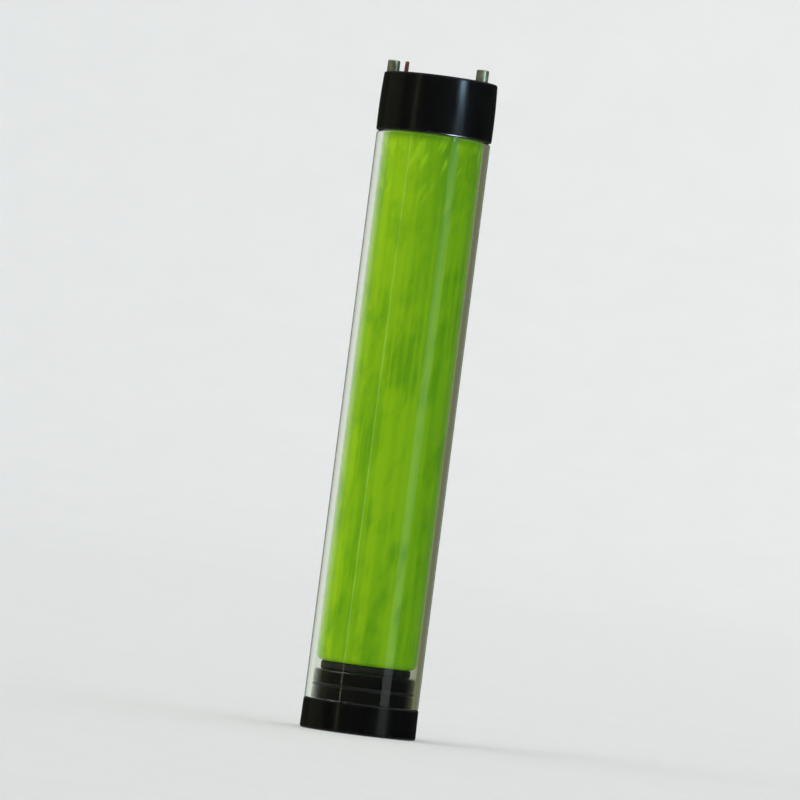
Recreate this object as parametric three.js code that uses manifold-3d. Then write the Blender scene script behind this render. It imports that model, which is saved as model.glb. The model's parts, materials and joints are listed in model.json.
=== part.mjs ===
// Fuel sampler cup: a lime sample cup inside a clear sleeve, closed below by a screwed end plug and above by
// a two-piece lid. The black cap turns and screws up the cup's neck; the lid insert inside it carries the probe
// and the strainer, and rises with the cap without turning. A red plug closes the vent beside the mouth.
//
// Millimetres, +Z up. The origin is at the centre of the flat end that the sampler stands on.
// Angles round the top are measured from the front (-Y), positive towards +X.

import * as THREE from "three";
import { mergeVertices } from "three/addons/utils/BufferGeometryUtils.js";
import Module from "manifold-3d";

const wasm = await Module();
wasm.setup();

// ---- Driving dimensions -------------------------------------------------------------------------------------

const CAP_TOP_Z = 196.5;
const CAP_HEIGHT = 17.5;
const CAP_TOP_RADIUS = 16.95;
const CAP_FOOT_RADIUS = 17.35;
const TUBE_RADIUS = 17.05;
const TUBE_BORE_RADIUS = 15.3;
const CUP_RADIUS = 15.0;
const CUP_SHOULDER_RADIUS = 14.6; // hidden by the cap, above the sleeve's shoulder
const CUP_WALL = 1.5;
const CUP_FLOOR_Z = 20.5;
const PLUG_HEIGHT = 9.0;
const MOUTH_RADIUS = 10.6;
const THREAD_LEAD = 3.0;
const THREAD_TURNS = 1.25;
const FIT_GAP = 0.1; // clearance between pieces that touch
const ROUND = 40; // facets round the large turned pieces
const SMALL_ROUND = 20; // facets round pins, holes and rings

// The two steel prongs and the vent plug that stand on the cap's top.
const PRONGS = { left: -80, right: 55 };
const PRONG_CIRCLE = 14.7;
const PRONG_RADIUS = 1.85;
const PRONG_RISE = 3.5;
const PRONG_DEPTH = 2.5;
const VENT_ANGLE = -50.5;
const VENT_CIRCLE = 13.7;
const VENT_BORE_RADIUS = 0.95;
const VENT_WELL_RADIUS = 1.85;
const VENT_WELL_DEPTH = 1.3;

// ---- Heights worked out from them, from the top down --------------------------------------------------------

const CAP_FOOT_Z = CAP_TOP_Z - CAP_HEIGHT;
const CAP_ROOF = 3.0;
const ROOF_Z = CAP_TOP_Z - CAP_ROOF; // underside of the cap's top
const PLATE_TOP_Z = ROOF_Z - FIT_GAP;
const PLATE_THICKNESS = 1.5;
const PLATE_Z = PLATE_TOP_Z - PLATE_THICKNESS;
const GASKET_THICKNESS = 1.0;
const RIM_Z = PLATE_Z - GASKET_THICKNESS - 2 * FIT_GAP; // rim of the cup's neck
const TUBE_SHOULDER_Z = CAP_FOOT_Z - 0.4;
const TUBE_TOP_Z = TUBE_SHOULDER_Z + 2.0;
const O_RING_CORD = 0.6; // half the section of both O-rings
const FLANGE_Z = TUBE_TOP_Z + 2 * O_RING_CORD;
const FLANGE_TOP_Z = FLANGE_Z + 1.2;
const THREAD_Z = FLANGE_TOP_Z + 1.8; // middle of the cup's thread where it starts

const SKIRT_BORE_RADIUS = 16.1;
const FLANGE_RADIUS = 15.9;
const NECK_RADIUS = 14.3;
const NECK_BORE_RADIUS = 12.6;

// ---- Geometry helpers ---------------------------------------------------------------------------------------

// A solid of revolution about Z from a closed outline of [radius, height] points, anticlockwise from the foot.
function turned(outline, facets = ROUND) {
  const points = outline.map(([radius, height]) => new THREE.Vector2(radius, height));
  const closed = outline[0][0] === 0 ? points : [...points, points[0].clone()];
  return new THREE.LatheGeometry(closed, facets).rotateX(Math.PI / 2);
}

// A flat outline raised from one height to another.
function raised(shape, bottom, top, curveSegments = 8) {
  const options = { depth: top - bottom, bevelEnabled: false, curveSegments };
  return new THREE.ExtrudeGeometry(shape, options).translate(0, 0, bottom);
}

// A round bar along Z, centred at x, y.
function bar(radius, bottom, top, x = 0, y = 0, facets = SMALL_ROUND) {
  const geometry = new THREE.CylinderGeometry(radius, radius, top - bottom, facets);
  return geometry.rotateX(Math.PI / 2).translate(x, y, (top + bottom) / 2);
}

function hexagon(acrossFlats) {
  const corners = [0, 1, 2, 3, 4, 5].map((i) => {
    const angle = (i * Math.PI) / 3;
    const reach = acrossFlats / Math.sqrt(3);
    return new THREE.Vector2(reach * Math.cos(angle), reach * Math.sin(angle));
  });
  return new THREE.Shape(corners);
}

// The x, y of a point on a circle round the axis, at an angle from the front.
function around(radius, degrees) {
  const angle = THREE.MathUtils.degToRad(degrees);
  return [radius * Math.sin(angle), -radius * Math.cos(angle)];
}

function toSolid(geometry) {
  const bare = geometry.clone();
  bare.deleteAttribute("normal");
  bare.deleteAttribute("uv");
  const merged = mergeVertices(bare, 1e-4);
  return new wasm.Manifold(
    new wasm.Mesh({
      numProp: 3,
      vertProperties: merged.attributes.position.array,
      triVerts: new Uint32Array(merged.index.array),
    }),
  );
}

function toGeometry(solid) {
  const mesh = solid.getMesh();
  const geometry = new THREE.BufferGeometry();
  geometry.setAttribute("position", new THREE.BufferAttribute(mesh.vertProperties, 3));
  geometry.setIndex(new THREE.BufferAttribute(mesh.triVerts, 1));
  geometry.computeVertexNormals();
  return geometry;
}

function joined(first, ...others) {
  return toGeometry(others.reduce((solid, other) => solid.add(toSolid(other)), toSolid(first)));
}

function cut(body, ...tools) {
  return toGeometry(tools.reduce((solid, tool) => solid.subtract(toSolid(tool)), toSolid(body)));
}

// A screw thread's ridge: a straight bar of trapezoid section bent round Z, rising by one lead each turn. It
// stands out from wallRadius by rise, negative on an inside thread, and fades into the wall at its ends.
function threadRidge(wallRadius, rise, startZ) {
  const baseHalf = 0.6;
  const crestHalf = 0.35;
  const sunk = -0.3 * Math.sign(rise);
  const stepsPerTurn = 32;
  const sweep = THREAD_TURNS * 2 * Math.PI;
  const fadeSweep = Math.PI / 5;
  const section = new THREE.Shape([
    new THREE.Vector2(sunk, -baseHalf),
    new THREE.Vector2(0, -baseHalf),
    new THREE.Vector2(rise, -crestHalf),
    new THREE.Vector2(rise, crestHalf),
    new THREE.Vector2(0, baseHalf),
    new THREE.Vector2(sunk, baseHalf),
  ]);
  const steps = Math.round(THREAD_TURNS * stepsPerTurn);
  const ridge = new THREE.ExtrudeGeometry(section, { depth: sweep, steps, bevelEnabled: false });
  const position = ridge.getAttribute("position");
  for (let i = 0; i < position.count; i += 1) {
    const angle = position.getZ(i);
    const fade = Math.min(1, angle / fadeSweep, (sweep - angle) / fadeSweep);
    const outward = position.getX(i) / rise > 0 ? position.getX(i) * fade : position.getX(i);
    const radius = wallRadius + outward;
    const height = startZ - position.getY(i) + (THREAD_LEAD * angle) / (2 * Math.PI);
    position.setXYZ(i, radius * Math.cos(angle), radius * Math.sin(angle), height);
  }
  return ridge;
}

// A ring of round section.
function oRing(radius, cordRadius, height, facets = ROUND) {
  return new THREE.TorusGeometry(radius, cordRadius, 8, facets).translate(0, 0, height);
}

// ---- Materials ----------------------------------------------------------------------------------------------

const standard = (color, roughness, metalness = 0, extra = {}) =>
  new THREE.MeshStandardMaterial({ color, roughness, metalness, ...extra });

const materials = {
  clear: standard(0xdfe8e2, 0.06, 0, { transparent: true, opacity: 0.35 }),
  lime: standard(0x8cc52a, 0.18, 0, { transparent: true, opacity: 0.85 }),
  black: standard(0x0b0c0c, 0.22),
  insert: standard(0x1b1d1e, 0.45),
  steel: standard(0x9a9c92, 0.3, 1),
  brass: standard(0xb08d4a, 0.35, 1),
  rubber: standard(0x17181a, 0.75),
  red: standard(0x8e2a22, 0.4),
};

// ---- The barrel: end plug, clear sleeve and sample cup ------------------------------------------------------

const SCREW_HOLE_RADIUS = 2.2;
const SCREW_WELL_RADIUS = 4.6;
const SCREW_WELL_DEPTH = 4.2;
const SPIGOT_TOP_Z = 18.0;
const SPIGOT_RADIUS = TUBE_BORE_RADIUS - 0.15;
const LOWER_GROOVE_Z = 13.4;
const LOWER_GROOVE_HALF = 0.8;
const BOSS_RADIUS = 5.0;
const BOSS_Z = PLUG_HEIGHT + FIT_GAP;
const BOSS_BORE_RADIUS = 3.1;
const BOSS_BORE_TOP_Z = 17.0;

function endPlug() {
  const grooveRadius = TUBE_BORE_RADIUS - FIT_GAP - 2 * O_RING_CORD;
  const hollowRadius = 9.0;
  const edge = 0.6;
  return turned([
    [SCREW_WELL_RADIUS, 0],
    [CAP_FOOT_RADIUS - edge, 0],
    [CAP_FOOT_RADIUS, edge],
    [CAP_FOOT_RADIUS - 0.15, PLUG_HEIGHT],
    [SPIGOT_RADIUS, PLUG_HEIGHT],
    [SPIGOT_RADIUS, LOWER_GROOVE_Z - LOWER_GROOVE_HALF],
    [grooveRadius, LOWER_GROOVE_Z - LOWER_GROOVE_HALF],
    [grooveRadius, LOWER_GROOVE_Z + LOWER_GROOVE_HALF],
    [SPIGOT_RADIUS, LOWER_GROOVE_Z + LOWER_GROOVE_HALF],
    [SPIGOT_RADIUS, SPIGOT_TOP_Z - edge],
    [SPIGOT_RADIUS - edge, SPIGOT_TOP_Z],
    [hollowRadius, SPIGOT_TOP_Z],
    [hollowRadius, PLUG_HEIGHT],
    [SCREW_HOLE_RADIUS, PLUG_HEIGHT],
    [SCREW_HOLE_RADIUS, SCREW_WELL_DEPTH],
    [SCREW_WELL_RADIUS, SCREW_WELL_DEPTH],
  ]);
}

const SCREW_WASHER_THICKNESS = 0.6;
const SCREW_HEAD_TOP_Z = SCREW_WELL_DEPTH - SCREW_WASHER_THICKNESS - 2 * FIT_GAP;

function screwWasher() {
  const outer = 4.2;
  const top = SCREW_WELL_DEPTH - FIT_GAP;
  const bottom = top - SCREW_WASHER_THICKNESS;
  return turned([
    [SCREW_HOLE_RADIUS, bottom], [outer, bottom], [outer, top], [SCREW_HOLE_RADIUS, top],
  ], SMALL_ROUND);
}

function endScrew() {
  const headZ = 0.7;
  const headRadius = 3.8;
  const shankRadius = 1.95;
  const shankTopZ = 15.5;
  const edge = 0.6;
  const body = turned([
    [0, headZ], [headRadius - edge, headZ], [headRadius, headZ + edge], [headRadius, SCREW_HEAD_TOP_Z],
    [shankRadius, SCREW_HEAD_TOP_Z], [shankRadius, shankTopZ - edge], [shankRadius - edge, shankTopZ],
    [0, shankTopZ],
  ], SMALL_ROUND);
  const socket = raised(hexagon(3.0), headZ - 1, headZ + 1.6);
  return cut(body, socket);
}

function threadInsert() {
  const outer = BOSS_BORE_RADIUS - FIT_GAP;
  const waist = outer - 0.35;
  const inner = 2.05;
  const bottom = BOSS_Z;
  const height = 6.5;
  return turned([
    [inner, bottom], [outer, bottom], [outer, bottom + 2.4], [waist, bottom + 2.7], [waist, bottom + 3.8],
    [outer, bottom + 4.1], [outer, bottom + height], [inner, bottom + height],
  ], SMALL_ROUND);
}

function cupCushion() {
  const inner = 9.5;
  const outer = 13.4;
  const bottom = SPIGOT_TOP_Z + FIT_GAP;
  const top = CUP_FLOOR_Z - FIT_GAP;
  return turned([[inner, bottom], [outer, bottom], [outer, top], [inner, top]]);
}

function outerTube() {
  const bottom = PLUG_HEIGHT + FIT_GAP;
  return turned([
    [TUBE_BORE_RADIUS, bottom],
    [TUBE_RADIUS, bottom],
    [TUBE_RADIUS, TUBE_SHOULDER_Z],
    [FLANGE_RADIUS, TUBE_SHOULDER_Z],
    [FLANGE_RADIUS, TUBE_TOP_Z],
    [TUBE_BORE_RADIUS, TUBE_TOP_Z],
  ]);
}

function sampleCup() {
  const insideRadius = CUP_RADIUS - CUP_WALL;
  const corner = 2.0;
  const body = turned([
    [0, BOSS_BORE_TOP_Z],
    [BOSS_BORE_RADIUS, BOSS_BORE_TOP_Z],
    [BOSS_BORE_RADIUS, BOSS_Z],
    [BOSS_RADIUS, BOSS_Z],
    [BOSS_RADIUS, CUP_FLOOR_Z],
    [CUP_RADIUS - corner, CUP_FLOOR_Z],
    [CUP_RADIUS - 0.6, CUP_FLOOR_Z + 0.6],
    [CUP_RADIUS, CUP_FLOOR_Z + corner],
    [CUP_RADIUS, TUBE_SHOULDER_Z],
    [CUP_SHOULDER_RADIUS, TUBE_SHOULDER_Z + 0.8],
    [CUP_SHOULDER_RADIUS, FLANGE_Z],
    [FLANGE_RADIUS, FLANGE_Z],
    [FLANGE_RADIUS, FLANGE_TOP_Z],
    [NECK_RADIUS, FLANGE_TOP_Z],
    [NECK_RADIUS, RIM_Z],
    [NECK_BORE_RADIUS, RIM_Z],
    [NECK_BORE_RADIUS, FLANGE_Z],
    [insideRadius, FLANGE_Z - 2],
    [insideRadius, CUP_FLOOR_Z + CUP_WALL + 1.5],
    [insideRadius - 1.5, CUP_FLOOR_Z + CUP_WALL],
    [0, CUP_FLOOR_Z + CUP_WALL],
  ]);
  return joined(body, threadRidge(NECK_RADIUS, 1.15, THREAD_Z));
}

// ---- The lid insert: gasket, probe plate, probe and strainer ------------------------------------------------

const COLLAR_RADIUS = 10.3;
const COLLAR_BORE_RADIUS = 9.3;
const COLLAR_TOP_Z = CAP_TOP_Z - 0.6;
const BEAD_RADIUS = 10.85;
const BEAD_RECESS_RADIUS = 11.1;
const BEAD_RECESS_Z = CAP_TOP_Z - 1.9;
const PORT_RADIUS = 8.4;
const HUB_RADIUS = 3.0;
const HUB_Z = PLATE_Z - 1.0;
const HUB_TOP_Z = PLATE_TOP_Z + 0.3;
const SPOKE_WIDTH = 1.8;
const LIP_RADIUS = 11.0;
const LIP_BORE_RADIUS = 10.2;
const LIP_Z = PLATE_Z - 1.7;
const PROBE_HOLE_RADIUS = 1.6;

// One of the four openings between the plate's spokes, centred on an angle.
function port(degrees) {
  const middle = THREE.MathUtils.degToRad(degrees);
  const half = (radius) => Math.PI / 4 - Math.asin(SPOKE_WIDTH / 2 / radius);
  const outline = new THREE.Shape();
  outline.absarc(0, 0, PORT_RADIUS, middle - half(PORT_RADIUS), middle + half(PORT_RADIUS), false);
  outline.absarc(0, 0, HUB_RADIUS, middle + half(HUB_RADIUS), middle - half(HUB_RADIUS), true);
  return raised(outline, HUB_Z - 1, CAP_TOP_Z);
}

function probePlate() {
  const body = turned([
    [0, HUB_Z],
    [HUB_RADIUS, HUB_Z],
    [HUB_RADIUS, PLATE_Z],
    [LIP_BORE_RADIUS, PLATE_Z],
    [LIP_BORE_RADIUS, LIP_Z],
    [LIP_RADIUS, LIP_Z],
    [LIP_RADIUS, PLATE_Z],
    [CUP_SHOULDER_RADIUS, PLATE_Z],
    [CUP_SHOULDER_RADIUS, PLATE_TOP_Z],
    [COLLAR_RADIUS, PLATE_TOP_Z],
    [COLLAR_RADIUS, BEAD_RECESS_Z + 0.3],
    [BEAD_RADIUS, BEAD_RECESS_Z + 0.6],
    [BEAD_RADIUS, COLLAR_TOP_Z - 0.3],
    [BEAD_RADIUS - 0.3, COLLAR_TOP_Z],
    [COLLAR_BORE_RADIUS, COLLAR_TOP_Z],
    [COLLAR_BORE_RADIUS, PLATE_TOP_Z + 0.9],
    [PORT_RADIUS, PLATE_TOP_Z],
    [HUB_RADIUS, PLATE_TOP_Z],
    [HUB_RADIUS - 0.3, HUB_TOP_Z],
    [0, HUB_TOP_Z],
  ]);
  const probeHole = bar(PROBE_HOLE_RADIUS, HUB_Z - 1, CAP_TOP_Z);
  const ventHoleCircle = 11.75;
  const ventHoleRadius = 0.5;
  const ventHoles = [45, 135, 225, 315].map((angle) => {
    const [x, y] = around(ventHoleCircle, angle);
    return bar(ventHoleRadius, PLATE_Z - 1, PLATE_TOP_Z + 1, x, y, 8);
  });
  return cut(body, ...[0, 90, 180, 270].map(port), probeHole, ...ventHoles);
}

// A threaded stud with a collar that seats on the hub; its rounded tip pushes a drain valve open.
function probePin() {
  const shank = 1.5;
  const collar = 2.3;
  const seatZ = HUB_TOP_Z + FIT_GAP;
  const tipZ = CAP_TOP_Z - 0.5;
  const footZ = HUB_Z - 3.4;
  return turned([
    [0, footZ], [shank - 0.4, footZ], [shank, footZ + 0.4], [shank, seatZ],
    [collar, seatZ], [collar, seatZ + 0.5], [shank + 0.2, seatZ + 0.8],
    [shank, tipZ - 0.7], [shank - 0.6, tipZ - 0.15], [0, tipZ],
  ], SMALL_ROUND);
}

const PROBE_WASHER_THICKNESS = 0.5;

function probeWasher() {
  const outer = 3.1;
  const top = HUB_Z - FIT_GAP;
  const bottom = top - PROBE_WASHER_THICKNESS;
  return turned([
    [PROBE_HOLE_RADIUS, bottom], [outer, bottom], [outer, top], [PROBE_HOLE_RADIUS, top],
  ], SMALL_ROUND);
}

function probeNut() {
  const acrossFlats = 5.5;
  const top = HUB_Z - PROBE_WASHER_THICKNESS - 2 * FIT_GAP;
  const bottom = top - 2.0;
  return cut(raised(hexagon(acrossFlats), bottom, top), bar(PROBE_HOLE_RADIUS, bottom - 1, top + 1));
}

const STRAINER_FLANGE_RADIUS = LIP_BORE_RADIUS - FIT_GAP;
const STRAINER_SHEET = 0.5;
const STRAINER_FLOOR_Z = HUB_Z - 5.0;

// The pressed dish of strainer gauze, as a sheet with rings of round holes.
function strainerMesh() {
  const top = PLATE_Z - FIT_GAP;
  const wallRadius = 8.7;
  const floorRadius = 7.9;
  const dish = turned([
    [0, STRAINER_FLOOR_Z],
    [floorRadius, STRAINER_FLOOR_Z],
    [wallRadius + STRAINER_SHEET, top - STRAINER_SHEET],
    [STRAINER_FLANGE_RADIUS, top - STRAINER_SHEET],
    [STRAINER_FLANGE_RADIUS, top],
    [wallRadius, top],
    [floorRadius - STRAINER_SHEET / 2, STRAINER_FLOOR_Z + STRAINER_SHEET],
    [0, STRAINER_FLOOR_Z + STRAINER_SHEET],
  ]);
  const holeRadius = 0.75;
  const ringSpacing = 2.8;
  const holes = [];
  for (const ring of [1, 2]) {
    for (let i = 0; i < ring * 6; i += 1) {
      const [x, y] = around(ring * ringSpacing, (i * 60) / ring);
      holes.push(bar(holeRadius, STRAINER_FLOOR_Z - 1, STRAINER_FLOOR_Z + 1, x, y, 6));
    }
  }
  return cut(dish, ...holes);
}

function strainerRing() {
  const top = PLATE_Z - 2 * FIT_GAP - STRAINER_SHEET;
  const bottom = top - 0.6;
  const outer = STRAINER_FLANGE_RADIUS;
  const inner = outer - 0.9;
  return turned([[inner, bottom], [outer, bottom], [outer, top], [inner, top]]);
}

function rimGasket() {
  const bottom = RIM_Z + FIT_GAP;
  const top = bottom + GASKET_THICKNESS;
  const outer = CUP_SHOULDER_RADIUS - FIT_GAP;
  const inner = NECK_BORE_RADIUS - FIT_GAP;
  return turned([[inner, bottom], [outer, bottom], [outer, top], [inner, top]]);
}

// ---- The cap: shell, prongs and vent plug -------------------------------------------------------------------

function capShell() {
  const edge = 0.6;
  const leadIn = 0.3;
  // A shallow groove under the top lets air from the plate's small holes reach the vent at any angle.
  const galleryIn = 11.3;
  const galleryOut = 13.8;
  const galleryZ = ROOF_Z + 0.6;
  const body = turned([
    [SKIRT_BORE_RADIUS + leadIn, CAP_FOOT_Z],
    [CAP_FOOT_RADIUS, CAP_FOOT_Z],
    [CAP_TOP_RADIUS, CAP_TOP_Z - edge],
    [CAP_TOP_RADIUS - edge / 3, CAP_TOP_Z - edge / 3],
    [CAP_TOP_RADIUS - edge, CAP_TOP_Z],
    [BEAD_RECESS_RADIUS, CAP_TOP_Z],
    [BEAD_RECESS_RADIUS, BEAD_RECESS_Z],
    [MOUTH_RADIUS, BEAD_RECESS_Z],
    [MOUTH_RADIUS, ROOF_Z],
    [galleryIn, ROOF_Z],
    [galleryIn, galleryZ],
    [galleryOut, galleryZ],
    [galleryOut, ROOF_Z],
    [SKIRT_BORE_RADIUS, ROOF_Z],
    [SKIRT_BORE_RADIUS, CAP_FOOT_Z + leadIn],
  ]);
  // The cap's thread runs just below the cup's, its upper flank close to the cup's lower one.
  const flankOffset = 1.05;
  const threaded = joined(body, threadRidge(SKIRT_BORE_RADIUS, -1.35, THREAD_Z - flankOffset));
  const prongHoles = Object.values(PRONGS).map((angle) => {
    const [x, y] = around(PRONG_CIRCLE, angle);
    return bar(PRONG_RADIUS + FIT_GAP, CAP_TOP_Z - PRONG_DEPTH - FIT_GAP, CAP_TOP_Z + 1, x, y);
  });
  const [ventX, ventY] = around(VENT_CIRCLE, VENT_ANGLE);
  const ventHole = bar(VENT_BORE_RADIUS, ROOF_Z - 1, CAP_TOP_Z + 1, ventX, ventY, 12);
  const ventWell = bar(VENT_WELL_RADIUS, CAP_TOP_Z - VENT_WELL_DEPTH, CAP_TOP_Z + 1, ventX, ventY);
  return cut(threaded, ...prongHoles, ventHole, ventWell);
}

function prong() {
  const edge = 0.35;
  return turned([
    [0, -PRONG_DEPTH], [PRONG_RADIUS, -PRONG_DEPTH], [PRONG_RADIUS, PRONG_RISE - edge],
    [PRONG_RADIUS - edge, PRONG_RISE], [0, PRONG_RISE],
  ], SMALL_ROUND);
}

// The vent plug and its seal are drawn from the cap's top, height 0, about the vent hole's axis. Both sit in the
// well, so only the pull tab shows.
const VENT_SEAL_Z = FIT_GAP - VENT_WELL_DEPTH;
const VENT_SEAL_THICKNESS = 0.4;
const VENT_FLANGE_RADIUS = 1.65;

// Stem, flange and a thin pull tab that stands edge-on to the front.
function ventPlug() {
  const stemRadius = VENT_BORE_RADIUS - FIT_GAP;
  const stemTip = 0.5 - CAP_ROOF;
  const flangeZ = VENT_SEAL_Z + VENT_SEAL_THICKNESS + FIT_GAP;
  const flangeTop = flangeZ + 0.4;
  const body = turned([
    [0, stemTip], [stemRadius - 0.3, stemTip], [stemRadius, stemTip + 0.5], [stemRadius, flangeZ],
    [VENT_FLANGE_RADIUS, flangeZ], [VENT_FLANGE_RADIUS, flangeTop], [0, flangeTop],
  ], SMALL_ROUND);
  const halfWidth = 1.6;
  const corner = 1.0;
  const thickness = 1.4;
  const footZ = flangeTop - 0.2;
  const shoulderZ = 3.3 - corner;
  const tab = new THREE.Shape();
  tab.moveTo(0.3 - halfWidth, footZ);
  tab.lineTo(halfWidth - 0.3, footZ);
  tab.lineTo(halfWidth, shoulderZ);
  tab.absarc(halfWidth - corner, shoulderZ, corner, 0, Math.PI / 2, false);
  tab.absarc(corner - halfWidth, shoulderZ, corner, Math.PI / 2, Math.PI, false);
  const blade = raised(tab, -thickness / 2, thickness / 2, 4).rotateX(Math.PI / 2).rotateZ(Math.PI / 2);
  return joined(body, blade);
}

function ventSeal() {
  const bottom = VENT_SEAL_Z;
  const top = bottom + VENT_SEAL_THICKNESS;
  const outer = VENT_FLANGE_RADIUS;
  return turned([
    [VENT_BORE_RADIUS, bottom], [outer, bottom], [outer, top], [VENT_BORE_RADIUS, top],
  ], SMALL_ROUND);
}

// ---- The assembly -------------------------------------------------------------------------------------------

const sampler = new THREE.Group();

function add(parent, name, geometry, material) {
  const mesh = new THREE.Mesh(geometry, material);
  mesh.name = name;
  parent.add(mesh);
  return mesh;
}

const barrel = new THREE.Group();
add(barrel, "end_plug", endPlug(), materials.black);
add(barrel, "end_screw", endScrew(), materials.steel);
add(barrel, "screw_washer", screwWasher(), materials.rubber);
add(barrel, "thread_insert", threadInsert(), materials.brass);
const lowerRingRadius = TUBE_BORE_RADIUS - FIT_GAP / 2 - O_RING_CORD;
add(barrel, "lower_o_ring", oRing(lowerRingRadius, O_RING_CORD - 0.02, LOWER_GROOVE_Z), materials.rubber);
add(barrel, "cup_cushion", cupCushion(), materials.rubber);
add(barrel, "outer_tube", outerTube(), materials.clear);
add(barrel, "sample_cup", sampleCup(), materials.lime);
const upperRingRadius = (CUP_SHOULDER_RADIUS + FLANGE_RADIUS) / 2;
const upperRingZ = TUBE_TOP_Z + O_RING_CORD;
add(barrel, "upper_o_ring", oRing(upperRingRadius, O_RING_CORD - 0.05, upperRingZ), materials.rubber);

const insert = new THREE.Group();
add(insert, "rim_gasket", rimGasket(), materials.rubber);
add(insert, "probe_plate", probePlate(), materials.insert);
add(insert, "probe_pin", probePin(), materials.steel);
add(insert, "probe_washer", probeWasher(), materials.steel);
add(insert, "probe_nut", probeNut(), materials.steel);
add(insert, "strainer_mesh", strainerMesh(), materials.steel);
add(insert, "strainer_ring", strainerRing(), materials.steel);

const cap = new THREE.Group();
add(cap, "cap_shell", capShell(), materials.black);
for (const [side, angle] of Object.entries(PRONGS)) {
  const [x, y] = around(PRONG_CIRCLE, angle);
  add(cap, `prong_${side}`, prong(), materials.steel).position.set(x, y, CAP_TOP_Z);
}

const vent = new THREE.Group();
const [ventX, ventY] = around(VENT_CIRCLE, VENT_ANGLE);
vent.position.set(ventX, ventY, CAP_TOP_Z);
add(vent, "vent_plug", ventPlug(), materials.red);
add(vent, "vent_seal", ventSeal(), materials.rubber);

sampler.add(barrel, insert, cap, vent);

export default sampler;
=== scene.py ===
"""Fuel sampler cup: fine surfaces, materials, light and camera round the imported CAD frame.

Each piece is a turned, bent or woven mesh with rounded edges that stands for one CAD node. Outlines
are in millimetres as (radius, height), anticlockwise from the foot, and their main sizes come from the
CAD boxes.
"""

import json
import math

import bpy
from mathutils import Matrix, Vector


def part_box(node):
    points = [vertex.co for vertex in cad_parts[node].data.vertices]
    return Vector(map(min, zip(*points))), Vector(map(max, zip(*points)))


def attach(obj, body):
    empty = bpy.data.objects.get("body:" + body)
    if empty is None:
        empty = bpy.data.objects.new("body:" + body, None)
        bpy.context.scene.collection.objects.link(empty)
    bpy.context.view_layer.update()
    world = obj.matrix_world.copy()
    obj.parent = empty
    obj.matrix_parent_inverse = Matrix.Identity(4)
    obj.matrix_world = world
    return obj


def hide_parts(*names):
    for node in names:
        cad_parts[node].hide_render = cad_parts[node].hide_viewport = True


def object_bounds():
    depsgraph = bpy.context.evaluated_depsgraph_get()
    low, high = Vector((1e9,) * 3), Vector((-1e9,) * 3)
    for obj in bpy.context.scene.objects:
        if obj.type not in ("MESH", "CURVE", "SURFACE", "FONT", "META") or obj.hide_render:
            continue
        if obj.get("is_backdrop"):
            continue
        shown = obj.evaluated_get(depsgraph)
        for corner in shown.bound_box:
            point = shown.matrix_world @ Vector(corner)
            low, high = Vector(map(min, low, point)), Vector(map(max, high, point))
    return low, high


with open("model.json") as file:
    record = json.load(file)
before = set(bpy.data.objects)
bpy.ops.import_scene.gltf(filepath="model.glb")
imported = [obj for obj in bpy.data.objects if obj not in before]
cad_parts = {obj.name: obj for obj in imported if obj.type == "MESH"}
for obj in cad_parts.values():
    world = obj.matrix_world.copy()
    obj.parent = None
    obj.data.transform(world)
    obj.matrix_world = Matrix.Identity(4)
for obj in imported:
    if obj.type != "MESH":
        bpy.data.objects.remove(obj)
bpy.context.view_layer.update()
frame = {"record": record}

MM = 0.001
FULL_TURN = 2 * math.pi
ROUND = 192  # facets round the large turned pieces, a multiple of 12 so that hexagons have true corners
SMALL_ROUND = 96
LARGE_RADIUS = 6.0
ROW = 0.1  # mm between rows where a thread, a knurl or a chamfered hexagon is drawn
ON_AXIS = 1e-6  # mm; a nearer point of an outline is on the axis
ON_WALL = 0.02  # mm; a nearer row belongs to a wall

BODIES = frame["record"]["behaviour"]["bodies"]
BODY_OF = {node: body for body, nodes in BODIES.items() for node in nodes}


# ---- Sizes, in millimetres -------------------------------------------------------


def foot(node):
    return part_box(node)[0].z / MM


def top(node):
    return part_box(node)[1].z / MM


def radius(node):
    low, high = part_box(node)
    return (high.x - low.x) / 2 / MM


def axis_of(node):
    """The x, y of a node's own upright axis."""
    low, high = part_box(node)
    return (low.x + high.x) / 2 / MM, (low.y + high.y) / 2 / MM


GAP = 0.1  # between pieces that touch
CAP_TOP = top("cap_shell")
CAP_FOOT = foot("cap_shell")
CAP_ROOF = 3.0
ROOF_Z = CAP_TOP - CAP_ROOF
SKIRT_BORE = 16.1
CUP_RADIUS = 15.0
CUP_SHOULDER_RADIUS = radius("probe_plate")
CUP_WALL = 1.5
CUP_FLOOR = top("cup_cushion") + GAP
NECK_RADIUS = 14.3
NECK_BORE = 12.6
FLANGE_Z = top("outer_tube") + 1.2
FLANGE_TOP = FLANGE_Z + 1.2
TUBE_BORE = 15.3
THREAD_Z = FLANGE_TOP + 1.8
THREAD_LEAD = 3.0
THREAD_TURNS = 1.25
PLATE_TOP = ROOF_Z - GAP
PLATE_Z = PLATE_TOP - 1.5
HUB_Z = foot("probe_plate") + 0.7
VENT_BORE = 0.95
VENT_WELL_RADIUS = 1.85
VENT_WELL_DEPTH = 1.3


# ---- Outlines --------------------------------------------------------------------


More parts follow.
